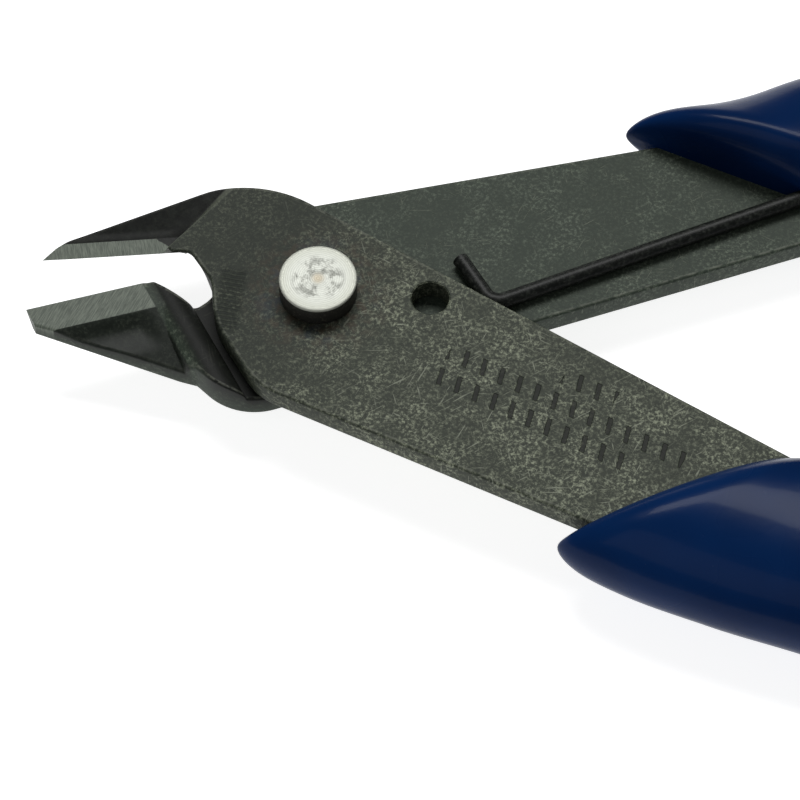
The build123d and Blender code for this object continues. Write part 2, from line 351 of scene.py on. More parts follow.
def tang_line(steps=60):
    """Middle line of the handle: straight from the pivot to the shank's end, an arc, then a straight tail."""
    bend_length = tang_bend_radius * radians(tang_bend)
    along = np.concatenate([np.linspace(0, shank_length, steps, endpoint=False),
                            shank_length + np.linspace(0, bend_length + tang_tail, steps)])
    turn = np.clip((along - shank_length) / bend_length, 0, 1) * tang_bend
    heading = np.radians(lever_angle + turn)
    middle = (heading[1:] + heading[:-1]) / 2
    steps_xy = np.diff(along)[:, None] * np.stack([np.cos(middle), np.sin(middle)], axis=1)
    start = beside(0, middle_offset, lever_angle)
    return along, np.concatenate([start[None], start + np.cumsum(steps_xy, axis=0)]), np.degrees(heading)


tang_along, tang_points, tang_heading = tang_line()
print("handle line is", tang_along[-1].round(2), "mm long and turns", tang_bend, "degrees")


# %% [markdown]
# ## The lever's outline
# From the tip along the back of the jaw, over the crown and down the inner edge of the shank, round the
# tang, and back along the outer edge, the heel, the round throat and the cutting edge.


# %% Lever outline
def tang_side(across_sign):
    """One long side of the tang: the handle's middle line moved sideways, from the shank's end on."""
    late = tang_along > shank_length + 5
    a = np.radians(tang_heading[late])
    normal = np.stack([-np.sin(a), np.cos(a)], axis=1)
    return tang_points[late] + across_sign * tang_width / 2 * normal


def lever_outline(make, undercut=0.0):
    """Closed outline of a lever; undercut moves the cutting edge back, for the underside of the jaw."""
    rear = make["side"] < 0
    inner, outer = (inner_offset, inner_angle), (-outer_offset, outer_angle)
    cutting = (make["jaw"][0] + undercut, make["jaw"][1])
    if rear and undercut:
        cutting = edge_through(on_jaw(make, make["end"], 0.6 * undercut), make["jaw"][1] + 7.8)
    tip = edge_through(on_jaw(make, make["end"], 0), make["tip"])
    throat, heel = (throat_radius, throat_angle), (throat_radius, heel_angle)
    along, depth = make["notch"]
    corners = [(meet(tip, cutting), make["corner_round"]), (meet(make["back"], tip), make["tip_round"])]
    if rear:
        corners += [(meet(make["back"], hump_edge), 0.25), (meet(hump_edge, inner), hump_round)]
    else:
        corners += [(meet(make["back"], inner), crown_round)]
    shank = [(meet(inner, edge_through(tang_points[tang_along >= shank_length][0], lever_angle + 90)), 0)]
    ends = [(point, 0) for point in [*tang_side(1), *tang_side(-1)[::-1]]]
    shank_end = [(meet(outer, edge_through(tang_points[tang_along >= shank_length][0], lever_angle + 90)), 0)]
    lead = beside(throat_lead, throat_radius, throat_angle)
    corners += shank + ends + shank_end + [(meet(heel, outer), heel_round)]
    corners += [(meet(throat, heel), throat_radius * 0.98), (lead, throat_lead_round)]
    if rear:
        corners += [(on_jaw(make, along, depth + undercut * 0.3), make["notch_round"])]
        corners += [(on_jaw(make, edge_start + undercut * 0.3, undercut), 0.3)]
    else:
        jog = meet(cutting, (make["step"], step_angle))
        corners += [(on_jaw(make, along - undercut * 0.3, depth + undercut), make["notch_round"])]
        corners += [(jog + beside(0.35, depth, make["jaw"][1]), 0), (jog, 0)]
    return rounded(corners)


# %% [markdown]
# ## Slanted columns across the lever
# The surface is a grid. Its columns are cuts across the lever: parallel to the pressed step at the jaw, so
# that the step is crisp, and turning square to the handle further back. Each column is crossed with the
# outline to find its two ends, and its rows are spread between them, closest at the rims, where the edge is
# rounded over.


# %% Columns and rows
def column_stations():
    """Spine points and directions of the columns, close together at the jaw and wider along the handle."""
    head = np.array([[-17.5, 7.4], [-12.0, 6.4], [-8.0, 5.0], [-4.5, 2.4], [0.0, -0.4]])
    shank = tang_points[tang_along >= 8.0]
    spine = np.concatenate([head, shank])
    length = np.concatenate([[0], np.cumsum(np.linalg.norm(np.diff(spine, axis=0), axis=1))])
    total = length[-1]
    sizes = [(0.0, 12.5, 0.075), (12.5, 28.0, 0.16), (28.0, 56.0, 0.4), (56.0, total, 1.2)]
    places = np.concatenate([np.arange(low, high, size) for low, high, size in sizes] + [[total - 1e-4]])
    middle = np.stack([np.interp(places, length, spine[:, axis]) for axis in (0, 1)], axis=1)
    square = np.interp(places, length[len(head):], tang_heading[tang_along >= 8.0] + 90)
    share = np.clip((places - length[3]) / (length[len(head)] - length[3]), 0, 1)
    direction = step_angle + (square - step_angle) * share * share * (3 - 2 * share)
    return middle, direction


def crossings(middle, direction, outline):
    """Lowest and highest crossing of each column with a closed outline, as distances along the column."""
    a = np.radians(direction)[:, None]
    heading = np.stack([np.cos(a), np.sin(a)], axis=-1)
    start, end = outline[None], np.roll(outline, -1, axis=0)[None]
    normal = np.stack([-np.sin(a), np.cos(a)], axis=-1)
    before = ((start - middle[:, None]) * normal).sum(-1)
    after = ((end - middle[:, None]) * normal).sum(-1)
    hit = (before <= 0) != (after <= 0)
    share = np.where(hit, before / np.where(hit, before - after, 1), 0)
    distance = (((start + (end - start) * share[..., None]) - middle[:, None]) * heading).sum(-1)
    return np.where(hit, distance, np.inf).min(1), np.where(hit, distance, -np.inf).max(1), hit.any(1)


def rim_distance(low, high, middle, direction, rows):
    """Distance of each point from the nearer rim, square to the rim's own direction."""
    a = np.radians(direction)
    heading = np.stack([np.cos(a), np.sin(a)], axis=1)
    distances = []
    for end, along in ((low, rows - low[:, None]), (high, high[:, None] - rows)):
        rim = middle + heading * end[:, None]
        tangent = np.gradient(rim, axis=0)
        tangent = tangent / np.linalg.norm(tangent, axis=1, keepdims=True)
        slant = np.abs(tangent[:, 0] * heading[:, 1] - tangent[:, 1] * heading[:, 0])
        distances.append(along * slant[:, None])
    return np.minimum(*distances)


row_count, land_row = 84, 26
ease = 0.5 - 0.5 * np.cos(np.pi * np.linspace(0, 1, row_count))


def smooth(value, start, stop):
    """0 before start, 1 after stop, and an S-shaped rise between."""
    share = np.clip((value - start) / (stop - start), 0, 1)
    return share * share * (3 - 2 * share)


def lay_rows(make, low, high, points_at, land):
    """Row places along each column; on the jaw one row follows the inner border of the ground land."""
    plain = ease[land_row]
    slope = sin(radians(step_angle - make["jaw"][1]))
    reach = np.clip(land / slope / (high - low), 0, 0.9)
    ahead = beyond(points_at(low), (make["step"], step_angle))
    share = plain + (np.maximum(reach, plain * 0.2) - plain) * smooth(ahead, -1.5, -0.1)
    first = ease[: land_row + 1] / plain * share[:, None]
    second = share[:, None] + (ease[land_row + 1:] - plain) / (1 - plain) * (1 - share[:, None])
    return low[:, None] + np.concatenate([first, second], axis=1) * (high - low)[:, None]


# %% [markdown]
# ## The two faces of a lever
# Each face is a height over the grid. On the front lever the plate is pressed down at the step to the
# ground land, and the jaw's black facet climbs from the land back to the plate. The rear lever has a
# rounded ridge across its neck, a land on top of its jaw, and a hollow facet that falls away behind the
# land.


# %% Heights
def upper_face(make, points):
    """Height of the upper face, from the distances behind the cutting line and past the step."""
    away, ahead = beyond(points, make["jaw"]), beyond(points, (make["step"], step_angle))
    behind = np.maximum(away - make["land"], 0)
    if make["side"] > 0:
        facet = np.minimum(edge_height + behind * tan(radians(-make["facet"])), half_gap + plate)
        hollow = 0.05 * smooth(behind, 0.0, 0.6) * smooth(ahead, 0.2, 1.2)
        return half_gap + plate + (facet - hollow - half_gap - plate) * smooth(ahead, -0.2, 0.18)
    cup = 0.28 * smooth(behind, 0, 0.9) * (1 - smooth(behind, 0.9, 2.8)) * smooth(ahead, 0.3, 1.6)
    jaw = edge_height - behind * tan(radians(make["facet"])) - cup
    radius, crest = 1.35, 8.02
    across = np.abs(beyond(points, (crest, step_angle)))
    ridge = 0.85 - radius + np.sqrt(np.clip(radius**2 - across**2, 0.01, None))
    ridge = ridge - smooth(across, 1.05, 1.35) * 0.6
    past = beyond(points, (crest, step_angle))
    ridge = np.where(np.abs(past) < 1.4, ridge, -2.0)
    ground = np.where(past > 0, jaw, -half_gap)
    return np.where(past > 0, np.maximum(ridge, ground), np.maximum(ridge, -half_gap))


def under_face(make, points):
    """Height of the face on the bench side."""
    away, ahead = beyond(points, make["jaw"]), beyond(points, (make["step"], step_angle))
    if make["side"] > 0:
        jaw = -edge_height + np.maximum(away - 1.25, 0) * tan(radians(-make["facet"]))
        return half_gap + (np.minimum(jaw, half_gap) - half_gap) * smooth(ahead, -0.6, -0.1)
    along = -(points @ beside(1, 0, make["jaw"][1]))
    return make["low"] + np.maximum(along - 9.3, 0) * tan(radians(10.0))


# %% [markdown]
# ## Holes without cutting
# A round hole in a grid: the block of quads round it is left out, and rings of new quads join the block's
# border to a circle on each face and run down the bore. Nothing has to be cut, and the mesh stays clean.


# %% Holes
def hole_block(points, centre, radius):
    """First and last column and row of the block of quads that a hole replaces."""
    near = np.linalg.norm(points - centre, axis=-1) < radius
    columns, rows = np.flatnonzero(near.any(1)), np.flatnonzero(near.any(0))
    return columns[0] - 1, columns[-1] + 1, rows[0] - 1, rows[-1] + 1


def block_border(block):
    """Column and row numbers round the border of a block, once, in order."""
    c0, c1, r0, r1 = block
    columns = np.concatenate([np.full(r1 - r0, c0), np.arange(c0, c1),
                              np.full(r1 - r0, c1), np.arange(c1, c0, -1)])
    rows = np.concatenate([np.arange(r0, r1), np.full(c1 - c0, r1),
                           np.arange(r1, r0, -1), np.full(c1 - c0, r0)])
    return columns, rows


def bore(faces, points, index_top, index_under, block, centre, radius, top, low):
    """Adds the rings of one hole: a small chamfer on each face and the wall between them."""
    columns, rows = block_border(block)
    outward = points[index_top[columns, rows]][:, :2] - centre
    outward = outward / np.linalg.norm(outward, axis=1, keepdims=True)
    chamfer = 0.08
    rings = [index_top[columns, rows]]
    count = len(points)
    for reach, height in ((radius + chamfer, top), (radius, top - chamfer), (radius, low + chamfer),
                          (radius + chamfer, low)):
        ring = np.column_stack([centre + outward * reach, np.full(len(columns), height)])
        rings.append(np.arange(count, count + len(ring)))
        points = np.concatenate([points, ring])
        count = len(points)
    rings.append(index_under[columns, rows])
    for one, two in zip(rings[:-1], rings[1:]):
        quads = np.stack([one, np.roll(one, -1), np.roll(two, -1), two], axis=-1)
        faces = np.concatenate([faces, quads])
    return faces, points


# %% [markdown]
# ## Building a lever
# The upper grid and the under grid share their columns. Their rims are rounded over by a quarter circle
# that fades to nothing at the cutting edge, and a strip of quads joins them: a plain wall round the plate,
# and a ground bevel under the edge, because there the under grid starts further back.


# %% Lever
def lever(name, make, holes):
    """One stamped lever, with the numbers its finish needs stored at each point."""
    side = make["side"]
    middle, direction = column_stations()
    top_line = lever_outline(make)
    under_line = lever_outline(make, undercut=make["undercut"])
    if side < 0:
        spine_y = np.interp(middle[:, 0], [-17.8, -9, -4.5, 0], [1.6, 1.6, 1.4, -0.4])
        middle[:, 1] = np.where(middle[:, 0] < 0, spine_y, middle[:, 1])
    low_t, high_t, hit_t = crossings(middle, direction, top_line)
    low_u, high_u, hit_u = crossings(middle, direction, under_line)
    keep = hit_t & hit_u & (high_t - low_t > 0.05) & (high_u - low_u > 0.02)
    middle, direction = middle[keep], direction[keep]
    low_t, high_t, low_u, high_u = low_t[keep], high_t[keep], low_u[keep], high_u[keep]
    a = np.radians(direction)
    heading = np.stack([np.cos(a), np.sin(a)], axis=1)

    def points_at(distance):
        spine, way = (middle, heading) if distance.ndim == 1 else (middle[:, None], heading[:, None])
        return spine + way * distance[..., None]

    rows_t = lay_rows(make, low_t, high_t, points_at, make["land"])
    share = (rows_t - low_t[:, None]) / (high_t - low_t)[:, None]
    rows_u = low_u[:, None] + share * (high_u - low_u)[:, None]
    flat_t, flat_u = points_at(rows_t), points_at(rows_u)
    rim = rim_distance(low_t, high_t, middle, direction, rows_t)
    rim_u = rim_distance(low_u, high_u, middle, direction, rows_u)
    on_blade = smooth(beyond(flat_t, (make["step"], step_angle)), -0.3, 0.2)
    sharp = on_blade * (1 - smooth(beyond(flat_t, make["jaw"]), 0.3, 0.9))
    soft = rim_softness * (1 - sharp) + edge_softness
    height_t = upper_face(make, flat_t)
    height_u = np.minimum(under_face(make, flat_u), height_t - 0.05)
    height_t = height_t - soft * (1 - np.sqrt(1 - np.clip(1 - rim / soft, 0, 1) ** 2))
    height_u = height_u + soft * (1 - np.sqrt(1 - np.clip(1 - rim_u / soft, 0, 1) ** 2))
    height_u = np.minimum(height_u, height_t - 0.004)
    count, rows = rim.shape
    top = np.concatenate([flat_t, height_t[..., None]], axis=-1)
    under = np.concatenate([flat_u, height_u[..., None]], axis=-1)
    loop = np.concatenate([top, under[:, ::-1]], axis=1)
    points = loop.reshape(-1, 3)
    index = np.arange(len(points)).reshape(count, 2 * rows)
    index_top, index_under = index[:, :rows], index[:, rows:][:, ::-1]
    faces = grid_faces(count, 2 * rows, wrap=True).reshape(count - 1, 2 * rows, 4)
    kept = np.ones((count - 1, 2 * rows), bool)
    blocks = []
    for centre, radius in holes:
        block = hole_block(flat_t, centre, radius + 0.12)
        c0, c1, r0, r1 = block
        kept[c0:c1, r0:r1] = False
        kept[c0:c1, 2 * rows - 1 - r1:2 * rows - 1 - r0] = False
        blocks.append((block, centre, radius))
    faces = faces[kept]
    for block, centre, radius in blocks:
        faces, points = bore(faces, points, index_top, index_under, block, centre, radius,
                             make["low"] + plate, make["low"])
    caps = [np.stack([edge[:-1], edge[1:], base[1:], base[:-1]], axis=-1)
            for edge, base in ((index_top[0], index_under[0]), (index_top[-1], index_under[-1]))]
    faces = np.concatenate([faces, *caps])
    extra = len(points) - loop.shape[0] * loop.shape[1]
    rim_all = np.concatenate([rim, rim_u[:, ::-1]], axis=1).reshape(-1)
    values = {
        "rim": np.concatenate([rim_all, np.full(extra, 3.0)]),
        "jaw_along": -(points[:, :2] @ beside(1, 0, make["jaw"][1])),
        "jaw_away": beyond(points[:, :2], make["jaw"]),
        "past_step": beyond(points[:, :2], (make["step"], step_angle)),
        "upper": np.concatenate([np.tile(np.repeat([1.0, 0.0], rows), count), np.zeros(extra)]),
    }
    points = points * np.array([1, side, 1])
    return add_piece(name, turned(points, -side * half_open), faces, crease=30.0, attributes=values)


hole_place = beside(6.14, 2.92, lever_angle)
front_lever = lever("front_lever_steel", sides["front"], [(hole_place, 1.15), (np.zeros(2), 1.64)])
rear_lever = lever("rear_lever_steel", sides["rear"], [(np.zeros(2), 1.6)])
for piece, node, body in ((front_lever, "front_lever", "front_half"),
                          (rear_lever, "rear_lever", "rear_half")):
    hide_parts(node)
    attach(piece, body)

# %% [markdown]
# ## The rivet
# A turned shape is a profile carried round an axis. The head is a flat disc with a small edge round, slightly
# dished where the lathe tool started, and the back is the low dome that the press leaves.


# %% Rivet
def turned_shape(name, profile, segments=96, crease=35.0):
    """A surface of revolution: profile rows are (radius, height), and the first and last lie on the axis."""
    profile = np.array(profile)
    angle = np.linspace(0, 2 * np.pi, segments, endpoint=False)
    radius, height = profile[:, 0, None], profile[:, 1, None]
    circle = np.stack([radius * np.cos(angle), radius * np.sin(angle), height + 0 * angle], axis=-1)
    return add_piece(name, circle.reshape(-1, 3), grid_faces(len(profile), segments, wrap=True), crease)


def quarter(centre_radius, centre_height, radius, start, stop, steps=7):
    """Points of an arc in the (radius, height) plane."""
    angle = np.radians(np.linspace(start, stop, steps))
    return np.column_stack([centre_radius + radius * np.cos(angle), centre_height + radius * np.sin(angle)])


head_low, head_high, head_radius = half_gap + plate + 0.05, half_gap + plate + 1.55, 2.36
back_high, back_radius = -half_gap - plate, 2.7
face_radii = np.linspace(0, head_radius - 0.12, 24)[:-1]
face = np.column_stack([face_radii, head_high - 0.05 * np.exp(-((face_radii / 0.5) ** 2))])
rivet_profile = np.concatenate([
    face,
    quarter(head_radius - 0.12, head_high - 0.12, 0.12, 90, 0),
    quarter(head_radius - 0.08, head_low + 0.08, 0.08, 0, -90, 4),
    [[1.6, head_low], [1.6, back_high], [back_radius - 0.1, back_high]],
    quarter(back_radius - 0.4, back_high - 0.4, 0.4, 0, -90),
    [[0, back_high - 0.8]],
])
rivet = turned_shape("pivot_rivet_turned", rivet_profile)
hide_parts("pivot_rivet")
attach(rivet, "rear_half")

# %% [markdown]
# ## The return spring
# Round wire: a circle carried along a path of a straight run, a tight hook and a short leg that bears on
# the other lever. It is left where it is built and is not attached to either lever's body.

# %% Spring
wire_radius, hook_radius, hook_turn, hook_leg = 0.5, 0.95, 82.0, 3.0
root = np.array(joints["spring_flex"]["pos_m"][:2]) / MM - pivot[:2]
run_angle = 180 + 29.0
run = beside(1, 0, run_angle)
inner_line = (inner_offset, inner_angle - half_open)
tail_length = 3.0
clear = hook_radius + wire_radius + 0.05
aside = beside(hook_radius, 0, run_angle - 90)
normal = beside(1, 0, inner_line[1] + 90)
run_length = (inner_line[0] + clear - (root + aside) @ normal) / (run @ normal)
bend_length = hook_radius * radians(hook_turn)


def wire_line(steps_run=90, steps_hook=26, steps_leg=12):
    """Middle line of the wire: its heading turns only in the hook, not on the run or the leg."""
    lengths = np.concatenate([
        np.linspace(-tail_length, run_length, steps_run, endpoint=False),
        run_length + np.linspace(0, bend_length, steps_hook, endpoint=False),
        run_length + bend_length + np.linspace(0, hook_leg, steps_leg),
    ])
    turn = np.clip((lengths - run_length) / bend_length, 0, 1) * hook_turn
    heading = np.radians(run_angle - turn)
    middle = (heading[1:] + heading[:-1]) / 2
    moves = np.diff(lengths)[:, None] * np.stack([np.cos(middle), np.sin(middle)], axis=1)
    start = root - run * tail_length
    return np.concatenate([start[None], start + np.cumsum(moves, axis=0)]), heading


def wire_tube(name, line, heading, height, segments=28):
    """A round tube: circles square to the line, drawn in to a small flat at both sheared ends."""
    angle = np.linspace(0, 2 * np.pi, segments, endpoint=False)
    grow = np.full(len(line), wire_radius)
    line = np.concatenate([line[:1], line[:1], line, line[-1:], line[-1:]])
    heading = np.concatenate([heading[:1]] * 2 + [heading] + [heading[-1:]] * 2)
    grow = np.concatenate([[0, wire_radius * 0.8], grow, [wire_radius * 0.8, 0]])
    way = np.stack([np.cos(heading), np.sin(heading)], axis=1)
    line = line.copy()
    line[:2] -= way[:2] * 0.08
    line[-2:] += way[-2:] * 0.08
    normal = np.stack([-np.sin(heading), np.cos(heading)], axis=1)
    flat = line[:, None] + normal[:, None] * (np.cos(angle) * grow[:, None])[..., None]
    up = height + np.sin(angle) * grow[:, None]
    points = np.concatenate([flat, up[..., None]], axis=-1)
    return add_piece(name, points.reshape(-1, 3), grid_faces(len(line), segments, wrap=True), 50.0)


wire_middle, wire_heading = wire_line()
wire_height = 0.05 + wire_radius - half_gap
spring = wire_tube("return_spring_wire", wire_middle, wire_heading, wire_height)
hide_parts("return_spring")
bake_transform(spring)
print("wire runs", round(float(run_length), 2), "mm from the grip to the hook")

# %% [markdown]
# ## The grips
# Dipped vinyl follows the tang and is thickest at its nose, where it swells over the lever in a blunt,
# slanted bulb. Each cross section is an oval. Its size grows from the lip like a quarter ellipse, so the
# nose is round, and shrinks the same way at the far end.

# %% Grip sizes
grip_end = tang_along[-1] + 4.3
grips = {
    "front": dict(side=1, start=24.9, slant=39.0, fade=12.0, lip=7.0, swell=1.0, drift=(-0.9, 0.4)),
    "rear": dict(side=-1, start=27.6, slant=50.0, fade=16.0, lip=7.2, swell=0.8, drift=(-1.5, -0.9)),
}


def grip(name, make, around=96):
    """Oval sections along the handle line: place, turn and both half sizes depend on the length."""
    share = np.concatenate([0.12 * np.linspace(0, 1, 40) ** 2, np.linspace(0.12, 0.9, 80)[1:],
                            1 - 0.1 * np.linspace(1, 0, 40)[1:] ** 2])
    side, start = make["side"], make["start"]
    along = start + (grip_end - start) * share
    middle = np.stack([np.interp(along, tang_along, tang_points[:, axis]) for axis in (0, 1)], axis=1)
    over = np.maximum(along - tang_along[-1], 0)
    last = np.radians(tang_heading[-1])
    middle = middle + over[:, None] * np.array([cos(last), sin(last)])
    heading = np.interp(along, tang_along, tang_heading)
    gone = along - start
    nose = (1 - np.clip(1 - gone / 3.4, 0, 1) ** 2.4) ** (1 / 2.4)
    blunt = (1 - np.clip(1 - gone / 2.4, 0, 1) ** 2) ** 0.5
    tail = np.sqrt(1 - np.clip(1 - (grip_end - along) / 7.0, 0, 1) ** 2.4)
    slant = make["slant"] * (1 - smooth(gone, 0.3, make["fade"]))
    width = (make["lip"] + blunt * make["swell"]) * (1 - smooth(gone, 2, 14)) + 5.65 * smooth(gone, 2, 14)
    width = (width - 0.55 * smooth(gone, 20, 60)) * tail
    height = (0.8 + 3.25 * nose) * (0.25 + 0.75 * tail)
    early, late = make["drift"]
    drift = early * (1 - smooth(gone, 1, 7)) + late * smooth(gone, 4, 10) * (1 - smooth(gone, 14, 34))
    width[0], height[0] = width[1] * 0.6, 0.3
    width = np.concatenate([[0], width[:-1], [0]])
    height = np.concatenate([[0], height[:-1], [0]])
    middle = np.concatenate([middle[:1], middle])
    heading, slant, drift = (np.concatenate([value[:1], value]) for value in (heading, slant, drift))
    a = np.radians(heading)
    middle = middle + np.stack([-np.sin(a), np.cos(a)], axis=1) * drift[:, None]
    b = np.radians(heading - slant)
    across = np.stack([-np.sin(b), np.cos(b)], axis=1)
    angle = np.linspace(0, 2 * np.pi, around, endpoint=False)
    fullness = 0.92
    wide = np.sign(np.cos(angle)) * np.abs(np.cos(angle)) ** fullness
    high = np.sign(np.sin(angle)) * np.abs(np.sin(angle)) ** fullness
    flat = middle[:, None] + across[:, None] * (wide * width[:, None])[..., None]
    up = np.maximum(high * height[:, None], -4.05)
    points = np.concatenate([flat, up[..., None]], axis=-1).reshape(-1, 3) * np.array([1, side, 1])
    return add_piece(name, turned(points, -side * half_open), grid_faces(len(width), around, wrap=True), 60.0)


front_grip = grip("front_grip_vinyl", grips["front"])
rear_grip = grip("rear_grip_vinyl", grips["rear"])
for piece, node, body in ((front_grip, "front_grip", "front_half"), (rear_grip, "rear_grip", "rear_half")):
    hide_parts(node)
    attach(piece, body)

# %% [markdown]
# ## Black oxide on steel
# Black oxide is a thin, dark, slightly green conversion layer. It is mottled like fine sand, shows hair
# scratches, is browner near the rivet, and is worn bright along the rims. The land behind each cutting edge
# is ground after blackening, so it is paler with marks square to the edge. The facet behind the land is
# painted nearly black as shade, a painted highlight runs along the front lever's step, and a painted shadow
# of the front lever darkens the rear lever's neck beside its ridge.


# %% Black oxide
def black_oxide(name, front):
    finish = Finish(name)
    rim, along = finish.attribute("rim"), finish.attribute("jaw_along")
    away, past = finish.attribute("jaw_away"), finish.attribute("past_step")
    upper = finish.attribute("upper")
    speckle = finish.noise(4.2, 6, 0.82)
    blotch = finish.noise(0.55, 3, 0.55, offset=7.0)
    patch = finish.noise(1.6, 3, 0.6, offset=3.0)
    tone = speckle.rise(0.46, 0.68) * (0.3 + 0.7 * blotch.rise(0.36, 0.64)) + 0.10 * patch
    if front:
        tone = tone * (0.28 + 0.72 * (finish.x - 0.25 * finish.y).rise(-5.0, 6.0))
        color = finish.blend(tone, (0.017, 0.022, 0.016), (0.36, 0.39, 0.28))
    else:
        color = finish.blend(tone * 0.7, (0.030, 0.040, 0.030), (0.19, 0.225, 0.17))
        # Painted shadow: the rear lever's neck beside the ridge is coloured near black in place of the front
        # lever's cast shadow.
        neck_shadow = past.rise(-4.4, -3.2) * (1 - past.rise(-0.75, 0.0)) * upper
        color = finish.blend(neck_shadow * 0.95, color, (0.006, 0.0065, 0.0055))
    radius = (finish.x * finish.x + finish.y * finish.y).power(0.5)
    if front:
        brown = (1 - radius.rise(2.6, 5.4)) * patch.rise(0.42, 0.62)
        color = finish.blend(brown * 0.6, color, (0.055, 0.038, 0.025))
        bluish = (1 - radius.rise(2.8, 4.4)) * blotch.rise(0.52, 0.66)
        color = finish.blend(bluish * 0.6, color, (0.022, 0.034, 0.045))
    scratches = None
    for angle, offset in ((24, 1.0), (-38, 5.0), (71, 9.0), (-8, 13.0), (112, 17.0)):
        lane = finish.turned(angle, (0.55, 9.0, 1.0))
        line = finish.noise(1.0, 2, 0.5, place=lane, offset=offset).rise(0.655, 0.70)
        broken = finish.noise(0.6, 2, 0.5, offset=offset * 1.7).rise(0.47, 0.58)
        mark = line * broken
        scratches = mark if scratches is None else scratches.most(mark)
    scratches = scratches * (0.15 + 0.85 * finish.x.rise(-2.0, 6.0))
    color = finish.blend(scratches * (0.6 if front else 0.25), color, (0.30, 0.32, 0.25))
    rubbed = finish.noise(2.0, 3, 0.6, offset=21.0).rise(0.38, 0.6)
    wear = (1 - (rim - 0.16).size().rise(0.02, 0.12)) * rubbed * upper
    color = finish.blend(wear * 0.38, color, (0.20, 0.21, 0.17))
    grain = finish.turned(-17.9 if front else 17.9, (14.0, 1.2, 1.0))
    grinding = finish.noise(1.0, 3, 0.7, place=grain, offset=2.0)
    ragged = (patch - 0.5) * (0.5 if front else 1.6)
    run_out = (along - (8.9 + away * away * 0.7 if front else 10.0 - away * 0.35) + ragged).rise(-0.05, 0.05)
    land = (1 - away.rise(1.08, 1.12) if front else 1 - away.rise(1.88, 1.92)) * past.rise(0.05, 0.15) * upper
    land = land * run_out
    ground = finish.blend(grinding.rise(0.3, 0.75), (0.075, 0.09, 0.072), (0.18, 0.205, 0.165))
    color = finish.blend(land, color, ground)
    facet = past.rise(0.0, 0.2) * upper * (1 - land)
    # Painted shade: the facet behind the land is coloured near black for the shade it lies in; on the rear
    # lever a little less.
    facet_shade = finish.blend(patch.rise(0.4, 0.7), (0.0028, 0.0032, 0.0028), (0.010, 0.0115, 0.0095))
    color = finish.blend(facet * (0.9 if front else 0.75), color, facet_shade)
    if front:
        # Painted highlight: a pale line along the front lever's step, where its rounded edge catches the
        # light.
        lip = (1 - (past + 0.05).size().rise(0.10, 0.24)) * upper * (0.4 + 0.6 * patch)
        color = finish.blend(lip * 0.7, color, (0.13, 0.14, 0.11))
    relief = speckle * 0.35 + patch * 0.4 - scratches * 0.7
    if front:
        chatter = (finish.y * (2 * pi / 0.30) + finish.x * 2.0 + patch * 3.0).wave() * 0.5 + 0.5
        zone = 1 - (finish.x + 5.3).size().rise(0.5, 1.1)
        zone = zone * (1 - (finish.y + 1.2).size().rise(1.9, 2.6)) * upper
        color = finish.blend(chatter * zone * 0.7, color, (0.014, 0.017, 0.014))
        relief = relief - chatter * zone * 2.2
    if front:
        angle = radians(lever_angle - half_open)
        forth = finish.x * cos(angle) + finish.y * sin(angle)
        over = finish.y * cos(angle) - finish.x * sin(angle)
        ticks = None
        for row, start, stop in ((1.9, 15.8, 19.2), (0.1, 9.0, 24.6), (-1.7, 9.0, 21.8)):
            slanted = forth + over * 0.25 + patch * 0.12
            stroke = (slanted * (1 / 1.2)).math("FRACT", slanted * (1 / 1.2))
            stroke = 1 - (stroke - 0.5).size().rise(0.10, 0.15)
            line = 1 - (over - row).size().rise(0.52, 0.60)
            run = 1 - (forth - (start + stop) / 2).size().rise((stop - start) / 2, (stop - start) / 2 + 0.05)
            mark = stroke * line * run * upper
            ticks = mark if ticks is None else ticks.most(mark)
        color = finish.blend(ticks * 0.88, color, (0.010, 0.011, 0.009))
        relief = relief - ticks * 3.0
    roughness = 0.42 + 0.2 * speckle - 0.1 * land - 0.08 * facet
    return finish.done(color, roughness, relief, depth=0.012, metallic=0.0, Specular_IOR_Level=0.13)


front_lever.data.materials.append(black_oxide("black_oxide_front", True))
rear_lever.data.materials.append(black_oxide("black_oxide_rear", False))

# %% [markdown]
# ## Bright steel, wire and vinyl
# The rivet's face is turned and then rubbed: pale, satin, with faint rings and dark smudges that follow the
# rings; its outer ring and everything below the face are painted darker as shade. The wire is oil black.
# The vinyl is a deep navy gloss with a few grains of dust and the softest orange peel.


# %% The other finishes
def turned_steel():
    finish = Finish("turned_steel")
    radius = (finish.x * finish.x + finish.y * finish.y).power(0.5)
    top = finish.z.rise(head_high - 0.2, head_high - 0.1)
    rings = (radius * 48.0 + finish.noise(1.2, 2) * 5.0).wave() * 0.5 + 0.5
    smudge = finish.noise(1.5, 4, 0.7, offset=4.0).rise(0.44, 0.62)
    smudge = smudge * (1 - (radius - 0.95).size().rise(0.3, 0.85))
    spots = finish.noise(6.0, 3, 0.7, offset=11.0).rise(0.56, 0.7)
    color = finish.blend(rings * 0.25, (0.56, 0.575, 0.52), (0.40, 0.415, 0.37))
    color = finish.blend(smudge * (0.35 + 0.5 * spots), color, (0.14, 0.14, 0.12))
    # Painted shade: the outer ring of the head is darkened where its rounded edge turns from the light.
    color = finish.blend(radius.rise(1.5, 2.3) * 0.6, color, (0.42, 0.43, 0.36))
    color = finish.blend((1 - radius.rise(0.1, 0.55)) * 0.65, color, (0.42, 0.34, 0.22))
    # Painted shade: everything below the head's face, its side wall and the back, is coloured dark for the
    # shade it sits in; the spots on it are its own.
    color = finish.blend(1 - top, color, finish.blend(spots, (0.035, 0.034, 0.03), (0.12, 0.115, 0.09)))
    roughness = 0.45 + 0.2 * smudge + 0.1 * rings
    return finish.done(color, roughness, rings * 0.5 + spots * 0.5, depth=0.006, metallic=0.35,
                       Specular_IOR_Level=0.3)


